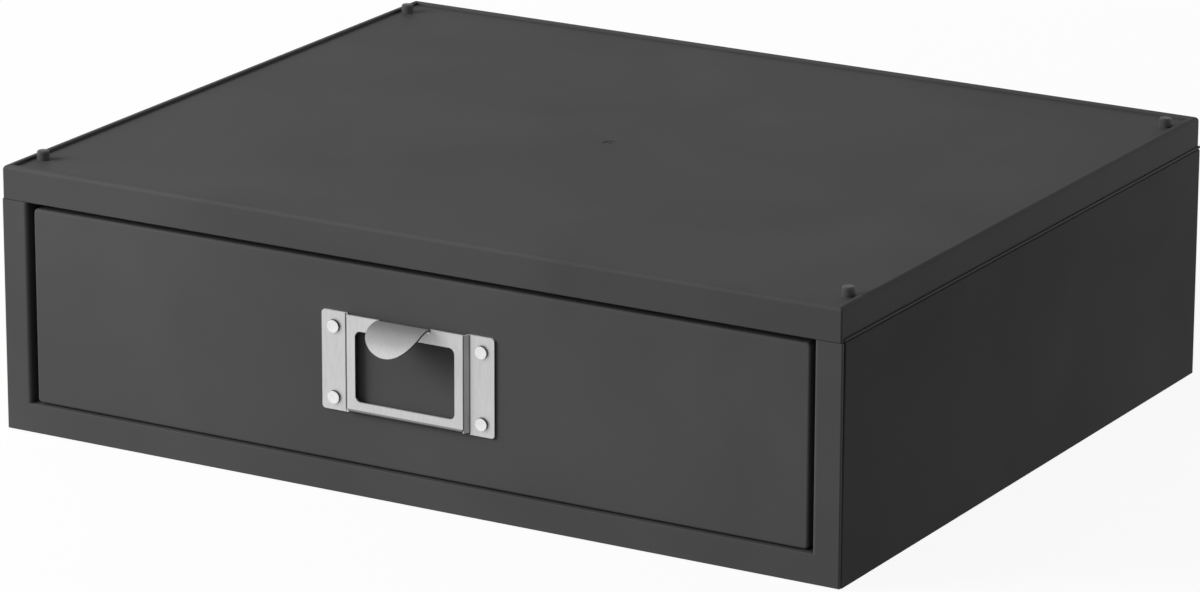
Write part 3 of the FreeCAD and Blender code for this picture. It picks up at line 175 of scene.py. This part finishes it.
# ---- Drawer front -------------------------------------------------------------------------------
# A ribbed moulding screwed to the tray, its flat face flush in the frame's opening.
# The same charcoal ABS and grain as the frame, so that the two read as one face.

face_abs = moulded_plastic("charcoal_abs_drawer_face", "#454545", "#4C4C4C", 0.7, 0.5)
finish_node("drawer_front", face_abs)


# ---- Tray ---------------------------------------------------------------------------------------
# The drawer's box, open at the top, moulded in one shot with its ribs and drawn walls.
# Its mould is polished for release, so it is smoother than the case, and shows faint flow marks.

tray_abs = moulded_plastic("charcoal_abs_smooth_tray", "#3A3A3A", "#484848", 0.55, 0.5, 0.3)
finish_node("drawer_tray", tray_abs)


# ---- Label holder -------------------------------------------------------------------------------
# One blank of 0.8 mm satin steel sheet: the window is punched out, its middle is pressed forward
# between two flanges, its bottom edge is turned back and its top edge curled into a finger tab.

def select(kind, test):
    """In edit mode, selects what passes a test: faces by their middle, edges by both their ends."""
    bpy.ops.mesh.select_mode(type=kind)
    bpy.ops.mesh.select_all(action="DESELECT")
    mesh = bpy.context.object.data
    shape = bmesh.from_edit_mesh(mesh)
    for item in {"VERT": shape.verts, "EDGE": shape.edges, "FACE": shape.faces}[kind]:
        if kind == "VERT":
            item.select_set(test(item.co))
        elif kind == "EDGE":
            item.select_set(all(test(end.co) for end in item.verts))
        else:
            item.select_set(test(item.calc_center_median()))
    bmesh.update_edit_mesh(mesh)


hair = 0.00001


def near(a, b):
    """True for two places less than a hair, a hundredth of a millimetre, apart."""
    return abs(a - b) < hair


def apply_modifier(piece, kind, **settings):
    """Adds a modifier to the active piece, sets it up and applies it."""
    modifier = piece.modifiers.new(kind.lower(), kind)
    for name, value in settings.items():
        setattr(modifier, name, value)
    bpy.ops.object.modifier_apply(modifier=modifier.name)


# How far forward the faces stand, heights above the desk, and distances from the middle.
sheet = 0.0008
raised_front, flange_front = -0.1411, -0.1391
holder_top, lip_start, notch_top, holder_foot = 0.0665, 0.0325, 0.0312, 0.0305
raised_half, joggle_half, flange_edge = 0.0238, 0.02515, 0.035
flange_corner, step_bend = 0.0013, 0.00028
window_width, window_height, window_corner = 0.0404, 0.0259, 0.0023
window_middle = Vector((0, raised_front, 0.0483))
window_top = window_middle.z + window_height / 2

# The window's outline, its corners rounded, then drawn out to the square corners of the frame.
bpy.ops.object.select_all(action="DESELECT")
bpy.ops.mesh.primitive_plane_add(size=1, location=window_middle, rotation=(pi / 2, 0, 0))
holder = bpy.context.object
holder.name = "pressed_label_holder"
holder.scale = (window_width, window_height, 1)
bpy.ops.object.transform_apply(location=True, rotation=True, scale=True)
bpy.ops.object.mode_set(mode="EDIT")
bpy.ops.mesh.select_all(action="SELECT")
bpy.ops.mesh.bevel(offset=window_corner, segments=8, affect="VERTICES")
bpy.ops.mesh.delete(type="ONLY_FACE")
bpy.ops.mesh.select_mode(type="EDGE")
bpy.ops.mesh.select_all(action="SELECT")
bpy.ops.mesh.extrude_edges_move()
bpy.ops.transform.resize(value=(1.2, 1, 1.2), center_override=window_middle)
for side in (-1, 1):
    for up, height in ((-1, lip_start), (1, holder_top)):
        select("VERT", lambda co: co.x * side > window_width / 2 + hair
               and (co.z - window_middle.z) * up > 0)
        bpy.ops.transform.resize(value=(0, 0, 0),
                                 center_override=(side * raised_half, raised_front, height))
bpy.ops.mesh.select_all(action="SELECT")
bpy.ops.mesh.remove_doubles(threshold=hair)

# The steps and flanges at both sides, with a small relief notch below each step.
for side in (-1, 1):
    select("EDGE", lambda co: near(co.x, side * raised_half))
    bpy.ops.mesh.extrude_edges_move()
    bpy.ops.transform.translate(value=(side * (joggle_half - raised_half),
                                       flange_front - raised_front, 0))
    bpy.ops.mesh.extrude_edges_move()
    bpy.ops.transform.translate(value=(side * (flange_edge - joggle_half), 0, 0))
    select("EDGE", lambda co: near(co.z, lip_start) and co.x * side > raised_half - hair)
    bpy.ops.mesh.extrude_edges_move()
    bpy.ops.transform.translate(value=(0, 0, notch_top - lip_start))
    select("EDGE", lambda co: near(co.z, notch_top) and co.x * side > joggle_half - hair)
    bpy.ops.mesh.extrude_edges_move()
    bpy.ops.transform.translate(value=(0, 0, holder_foot - notch_top))
    for line in (lip_start, notch_top):
        select("EDGE", lambda co: near(co.z, line) and co.x * side > joggle_half - hair)
        bpy.ops.mesh.dissolve_edges(use_verts=False)
select("VERT", lambda co: near(abs(co.x), flange_edge)
       and not near(co.z, holder_foot) and not near(co.z, holder_top))
bpy.ops.mesh.dissolve_verts()
select("VERT", lambda co: near(abs(co.x), flange_edge))
bpy.ops.mesh.bevel(offset=flange_corner, segments=6, affect="VERTICES")
for line in (raised_half, joggle_half):
    select("EDGE", lambda co: near(abs(co.x), line) and co.z > notch_top - hair)
    bpy.ops.mesh.bevel(offset=step_bend, segments=4)

# The bottom lip: the frame's lower edge turned back towards the drawer.
lip_half, lip_bend, lip_run = 0.0232, 0.0015, 0.0011
for side in (-1, 1):
    bpy.ops.mesh.select_all(action="SELECT")
    bpy.ops.mesh.bisect(plane_co=(side * lip_half, 0, 0), plane_no=(1, 0, 0))
select("EDGE", lambda co: near(co.z, lip_start) and abs(co.x) < lip_half + hair)
bpy.ops.mesh.spin(steps=6, angle=-pi / 2, center=(0, raised_front + lip_bend, lip_start), axis=(1, 0, 0))
bpy.ops.mesh.extrude_edges_move()
bpy.ops.transform.translate(value=(0, lip_run, 0))

# The finger tab: bent forward at its root, then curled down. Its end is trimmed to what looks a
# true half circle from 45 degrees up.
tab_half, tab_top, root_bend, curl = 0.0105, 0.0668, 0.00206, 0.0129
root_height, tab_y = tab_top - root_bend, raised_front + sheet - root_bend
curl_middle, curl_end, trim_lean = (0, tab_y, tab_top - curl), radians(71.6), radians(45)
bpy.ops.mesh.select_all(action="SELECT")
for place, normal in (((tab_half, 0, 0), (1, 0, 0)), ((-tab_half, 0, 0), (1, 0, 0)),
                      ((0, 0, root_height), (0, 0, 1))):
    select("FACE", lambda co: abs(co.x) < lip_half and co.z > window_top)
    bpy.ops.mesh.bisect(plane_co=place, plane_no=normal)
select("FACE", lambda co: abs(co.x) < tab_half and co.z > root_height)
bpy.ops.mesh.delete(type="FACE")
select("EDGE", lambda co: near(co.z, root_height) and abs(co.x) < tab_half + hair)
bpy.ops.mesh.spin(steps=6, angle=-pi / 2, center=(0, tab_y, root_height), axis=(1, 0, 0))
# Row by row, the strip is swept further round the curl and drawn in to the half circle's width.
tip = curl * sin(curl_end - trim_lean)
swept, width, rows = 0, 1, 12
for row in range(rows + 1):
    across, down = cos(pi / 2 * row / rows), sin(pi / 2 * row / rows)
    angle = trim_lean + asin((tab_half * (down - 1) + tip) / curl)
    bpy.ops.mesh.spin(steps=1 if row else 6, angle=swept - angle, center=curl_middle, axis=(1, 0, 0))
    if across < 0.01:
        bpy.ops.mesh.merge(type="CENTER")
    else:
        bpy.ops.transform.resize(value=(across / width, 1, 1), center_override=curl_middle)
    swept, width = angle, across

# The sheet's thickness, then the rivet holes, drilled through both flanges.
select("FACE", lambda co: True)
bpy.ops.mesh.remove_doubles(threshold=hair)
bpy.ops.mesh.normals_make_consistent(inside=False)
bpy.ops.object.mode_set(mode="OBJECT")
if sum(face.normal.y * face.area for face in holder.data.polygons) > 0:
    holder.data.flip_normals()


def worked_metal(name, dark, light, smooth, rough, streak, metallic=1.0):
    """A metal surface whose fine lines run one way: streak gives their size along x, y and z
    in metres. They change its colour, roughness and relief together."""
    patch_mm = 14
    steel = new_material(name)
    place = add_node(steel, "TexCoord").outputs["Object"]
    drawn = add_node(steel, "Mapping", {"Vector": place, "Scale": [1 / size for size in streak]})
    lines = add_node(steel, "TexNoise", {"Vector": drawn.outputs[0], "Scale": 1, "Detail": 3,
                                         "Roughness": 0.6})
    # Slow, cloudy patches, as left where the sheet was wiped and handled.
    patches = add_node(steel, "TexNoise", {"Vector": place, "Scale": 1000 / patch_mm,
                                            "Detail": 3})
    tone = add_node(steel, "Math", {0: patches.outputs["Fac"], 1: 0.5, 2: lines.outputs["Fac"]},
                    operation="MULTIPLY_ADD")
    share = add_node(steel, "MapRange", {"Value": tone.outputs[0], "From Min": 0.5,
                                         "From Max": 1.0})
    colour = add_node(steel, "Mix", {0: share.outputs[0], 6: linear(dark), 7: linear(light)},
                      data_type="RGBA")
    gloss = add_node(steel, "MapRange", {"Value": share.outputs[0], "To Min": smooth,
                                         "To Max": rough})
    relief = add_node(steel, "Bump", {"Height": lines.outputs["Fac"], "Strength": 0.2,
                                      "Distance": 0.00002})
    surface = add_node(steel, "BsdfPrincipled", {
        "Base Color": colour.outputs[2], "Metallic": metallic, "Roughness": gloss.outputs[0],
        "Normal": relief.outputs[0]})
    add_node(steel, "OutputMaterial", {"Surface": surface.outputs[0]})
    return steel


# The satin belt leaves upright lines some 5 mm long. They are 0.1 mm apart in truth, drawn at
# 0.5 mm to show. So fine a finish scatters part of the light, which a metallic value of 0.72 gives.
satin_steel = worked_metal("satin_steel_sheet", "#C5C5C5", "#D4D4D4", 0.36, 0.46,
                           (0.0005, 0.0009, 0.005), 0.72)
# The cut edges are bare metal with marks across the sheet's thickness. Their near-white colour is partly
# the brighter bare metal and partly a painted highlight along the edges.
edge_steel_painted_highlight = worked_metal("cut_edge_painted_highlight", "#EAEAEA", "#F6F6F6", 0.3, 0.4,
                             (0.0006, 0.003, 0.0006), 0.5)
# The steps' slopes are painted a darker grey and their bends a darker grey still: painted shade.
mid_shade_steel = worked_metal("steel_painted_mid_shade", "#868686", "#989898", 0.44, 0.54,
                             (0.0005, 0.0005, 0.006), 0.8)
deep_shade_steel = worked_metal("steel_painted_deep_shade", "#4C4C4C", "#5E5E5E", 0.4, 0.5,
                            (0.0005, 0.0005, 0.006), 0.8)
for steel in (satin_steel, edge_steel_painted_highlight, mid_shade_steel, deep_shade_steel):
    holder.data.materials.append(steel)
satin, highlight_edge, mid_shade, deep_shade = range(4)
apply_modifier(holder, "SOLIDIFY", thickness=sheet, offset=-1, use_even_offset=True,
               use_quality_normals=True, material_offset_rim=highlight_edge)
rivets_low, rivets_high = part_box("holder_rivets")
rivet_head, rivet_hole = 0.0024, 0.00155
rivet_places = [(x, z) for x in (rivets_low[0] + rivet_head, rivets_high[0] - rivet_head)
                for z in (rivets_low[2] + rivet_head, rivets_high[2] - rivet_head)]
for x, z in rivet_places:
    bpy.ops.object.select_all(action="DESELECT")
    bpy.ops.mesh.primitive_cylinder_add(radius=rivet_hole, depth=5 * sheet, vertices=24,
                                        location=(x, flange_front, z), rotation=(pi / 2, 0, 0))
    drill = bpy.context.object
    bpy.context.view_layer.objects.active = holder
    apply_modifier(holder, "BOOLEAN", object=drill, operation="DIFFERENCE", solver="EXACT")
    bpy.data.objects.remove(drill)

# Edges softened by tumbling.
apply_modifier(holder, "BEVEL", width=0.0001, segments=2, limit_method="ANGLE",
               angle_limit=radians(40))
bpy.ops.object.select_all(action="DESELECT")
holder.select_set(True)
bpy.ops.object.shade_smooth_by_angle(angle=radians(35))
apply_modifier(holder, "WEIGHTED_NORMAL", keep_sharp=True)
# The steps and the bottom lip's bend, where it faces down, are painted those two darker greys: painted
# shade.
# The side cuts and the tab's cut edges are painted dark grey as well: painted shade.
for face in holder.data.polygons:
    lean, on_tab = abs(face.normal.x), face.center.y < raised_front - sheet / 2
    on_step = raised_half - sheet / 2 < abs(face.center.x) < joggle_half + sheet / 2
    if face.material_index == satin and on_step:
        face.material_index = mid_shade if lean > 0.78 else deep_shade if lean > 0.08 else satin
    elif face.material_index == satin and face.center.z < lip_start and face.normal.z < -0.05:
        face.material_index = mid_shade if face.normal.z > -0.6 else deep_shade
    elif face.material_index == highlight_edge and lean > (0.5 if on_tab else 0.95):
        face.material_index = deep_shade
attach(holder, "drawer")
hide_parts("label_holder")


# ---- Rivets -------------------------------------------------------------------------------------
# Four flat-headed aluminium rivets, set through the holder, the drawer's front and a washer.
# The head has a rolled rim and a crown flattened by the set; the tail is upset behind the washer.

head_top, head_back, tail_end = rivets_low[1], flange_front, rivets_high[1]
washer_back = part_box("rivet_washers")[1][1]
rivet_shank, rivet_tail, tail_round = 0.0015, 0.0022, 0.00025
rim_round, rim_width, dish_slope, dish_depth = 0.0003, 0.0004, 0.0002, 0.0001
x, z = rivet_places[0]
bpy.ops.object.select_all(action="DESELECT")
bpy.ops.mesh.primitive_cylinder_add(radius=rivet_head, depth=head_back - head_top, vertices=32,
                                    location=(x, (head_top + head_back) / 2, z),
                                    rotation=(pi / 2, 0, 0))
rivet = bpy.context.object
rivet.name = "holder_rivet_1"
bpy.ops.object.transform_apply(location=True, rotation=True, scale=True)
bpy.ops.object.mode_set(mode="EDIT")
select("EDGE", lambda co: near(co.y, head_top))
bpy.ops.mesh.bevel(offset=rim_round, segments=4)
select("FACE", lambda co: near(co.y, head_top))
bpy.ops.mesh.inset(thickness=rim_width)
bpy.ops.mesh.inset(thickness=dish_slope)
bpy.ops.transform.translate(value=(0, dish_depth, 0))
# The shank, drawn out of the head's back, and the tail, spread over the washer.
select("FACE", lambda co: near(co.y, head_back))
bpy.ops.mesh.inset(thickness=rivet_head - rivet_shank)
bpy.ops.mesh.extrude_region_move()
bpy.ops.transform.translate(value=(0, washer_back - head_back, 0))
bpy.ops.mesh.extrude_region_move()
bpy.ops.transform.resize(value=(rivet_tail / rivet_shank, 1, rivet_tail / rivet_shank),
                         center_override=(x, 0, z))
bpy.ops.mesh.extrude_region_move()
bpy.ops.transform.translate(value=(0, tail_end - washer_back, 0))
select("EDGE", lambda co: near(co.y, tail_end))
bpy.ops.mesh.bevel(offset=tail_round, segments=3)
bpy.ops.object.mode_set(mode="OBJECT")
bpy.ops.object.shade_smooth_by_angle(angle=radians(35))
# Bright satin aluminium, nearly white where the set struck it. The head's side is painted dark grey:
# painted shade.
struck_aluminium = worked_metal("cold_headed_aluminium", "#E4E4E4", "#F2F2F2", 0.34, 0.44,
                                (0.0012, 0.0012, 0.0006), 0.8)
rivet_side_painted_shade = worked_metal("aluminium_painted_side_shade", "#3C3C3C", "#4E4E4E", 0.5, 0.6,
                              (0.0006, 0.003, 0.0006), 0.8)
for metal in (struck_aluminium, rivet_side_painted_shade):
    rivet.data.materials.append(metal)
for face in rivet.data.polygons:
    if abs(face.normal.y) < 0.4 and face.center.y < head_back:
        face.material_index = rivet.data.materials.find(rivet_side_painted_shade.name)
rivets = [rivet]
for number, (to_x, to_z) in enumerate(rivet_places[1:], 2):
    piece = rivet.copy()
    piece.name = f"holder_rivet_{number}"
    piece.data = rivet.data.copy()
    piece.data.transform(Matrix.Translation((to_x - x, 0, to_z - z)))
    bpy.context.scene.collection.objects.link(piece)
    rivets.append(piece)
for piece in rivets:
    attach(piece, "drawer")
    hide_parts("holder_rivets")


# ---- Screws and backing washers -----------------------------------------------------------------
# Self-tapping screws that hold the lid, the base, the runners and the drawer front, and a washer
# under each rivet's tail. Zinc-plated steel: pale grey, with a faint straw and blue from the bath.

stain_mm, spangle_mm = 3, 0.4
zinc_plate = new_material("zinc_plated_steel")
place = add_node(zinc_plate, "TexCoord").outputs["Object"]
stain = add_node(zinc_plate, "TexNoise", {"Vector": place, "Scale": 1000 / stain_mm,
                                          "Detail": 3})
spangle = add_node(zinc_plate, "TexNoise", {"Vector": place, "Scale": 1000 / spangle_mm,
                                            "Detail": 2})
tint = add_node(zinc_plate, "MapRange", {"Value": stain.outputs["Fac"], "From Min": 0.35,
                                         "From Max": 0.65})
zinc_colour = add_node(zinc_plate, "Mix", {0: tint.outputs[0], 6: linear("#AEB4BA"),
                                           7: linear("#BEBCB2")}, data_type="RGBA")
zinc_rough = add_node(zinc_plate, "MapRange", {"Value": spangle.outputs["Fac"], "To Min": 0.28,
                                               "To Max": 0.48})
zinc_relief = add_node(zinc_plate, "Bump", {"Height": spangle.outputs["Fac"], "Strength": 0.15,
                                            "Distance": 0.00002})
surface = add_node(zinc_plate, "BsdfPrincipled", {
    "Base Color": zinc_colour.outputs[2], "Metallic": 1.0, "Roughness": zinc_rough.outputs[0],
    "Normal": zinc_relief.outputs[0]})
add_node(zinc_plate, "OutputMaterial", {"Surface": surface.outputs[0]})
for name in ("lid_screws", "base_end_screws", "base_side_screws", "runner_screws",
             "front_screws", "rivet_washers"):
    finish_node(name, zinc_plate)


# ---- Floor, lights and camera -------------------------------------------------------------------
# A plain pale studio floor that shows white to the camera but keeps the object's shadow, one
# large soft lamp at the front left, two weak ones at the right and behind, and a soft room light
# that is strongest at the front left.

def seen_directly(surface):
    """1 for what the camera sees of a floor or sky, also in metal or through glass. 0 for the
    light that it sends to the object."""
    path = add_node(surface, "LightPath")
    seen = add_node(surface, "Math", {0: path.outputs["Is Camera Ray"],
                                      1: path.outputs["Is Glossy Ray"]}, operation="ADD")
    seen = add_node(surface, "Math", {0: seen.outputs[0], 1: path.outputs["Is Transmission Ray"]},
                    operation="ADD", use_clamp=True)
    return seen.outputs[0]


bpy.ops.object.select_all(action="DESELECT")
bpy.ops.mesh.primitive_plane_add(size=60)
floor = bpy.context.object
floor.name = "studio_floor"
floor_paint = new_material("pale_floor_paint")
seen = seen_directly(floor_paint)
paint_colour = add_node(floor_paint, "Mix", {0: seen, 6: linear("#585858"),
                                             7: linear("#F6F6F6")}, data_type="RGBA")
paint = add_node(floor_paint, "BsdfDiffuse", {"Color": paint_colour.outputs[2]})
glow = add_node(floor_paint, "Emission", {"Color": linear("#FFFFFF"), "Strength": 1.0})
glow_share = 0.92
share = add_node(floor_paint, "Math", {0: seen, 1: glow_share}, operation="MULTIPLY")
floor_mix = add_node(floor_paint, "MixShader", {0: share.outputs[0], 1: paint.outputs[0],
                                                2: glow.outputs[0]})
add_node(floor_paint, "OutputMaterial", {"Surface": floor_mix.outputs[0]})
floor.data.materials.append(floor_paint)

world = bpy.data.worlds.new("studio")
world.use_nodes = True
world.node_tree.nodes.clear()
direction = add_node(world, "TexCoord").outputs["Generated"]
front_left = (-0.62, -0.71, 0.33)
towards_front_left = add_node(world, "VectorMath", {0: direction, 1: front_left},
                              operation="DOT_PRODUCT")
lit = add_node(world, "MapRange", {"Value": towards_front_left.outputs["Value"],
                                   "From Max": 1.0, "To Min": 0.03, "To Max": 0.93})
# What the camera and the metal see of the room is white, and greyer overhead.
height = add_node(world, "SeparateXYZ", {0: direction})
shown = add_node(world, "MapRange", {"Value": height.outputs["Z"], "From Min": 0.4, "From Max": 1.0,
                                     "To Min": 1.0, "To Max": 0.2}, interpolation_type="SMOOTHSTEP")
strength = add_node(world, "Mix", {0: seen_directly(world), 2: lit.outputs[0],
                                   3: shown.outputs[0]})
sky = add_node(world, "Background", {"Color": linear("#FFFFFF"), "Strength": strength.outputs[0]})
add_node(world, "OutputWorld", {"Surface": sky.outputs[0]})
bpy.context.scene.world = world


def soft_lamp(name, place, target, size, power):
    """A square soft box at a place, turned to a target. Metal reflects the room, not its outline."""
    light = bpy.data.lights.new(name, "AREA")
    light.size = size
    light.energy = power
    lamp = bpy.data.objects.new(name, light)
    bpy.context.scene.collection.objects.link(lamp)
    lamp.location = place
    lamp.visible_glossy = False
    lamp.visible_camera = False
    lamp.rotation_euler = (Vector(target) - Vector(place)).to_track_quat("-Z", "Y").to_euler()


soft_lamp("key_lamp", (-0.95, -0.85, 0.55), (0, -0.1, 0.05), 0.7, 20.0)
soft_lamp("side_fill", (0.9, 0.75, 0.22), (0.17, 0.05, 0.05), 0.4, 5.0)
soft_lamp("back_fill", (-0.9, 1.0, 0.55), (0, 0.05, 0.08), 0.6, 5.0)

camera = bpy.data.objects.new("camera", bpy.data.cameras.new("camera"))
bpy.context.scene.collection.objects.link(camera)
camera.location = (1.0808, -1.8667, 0.6992)
camera.rotation_euler = (radians(73.005), radians(-0.176), radians(30.218))
camera.data.sensor_width = 36
camera.data.lens = 185.79
camera.data.clip_end = 100
bpy.context.scene.camera = camera

bpy.context.scene.view_settings.view_transform = "Standard"
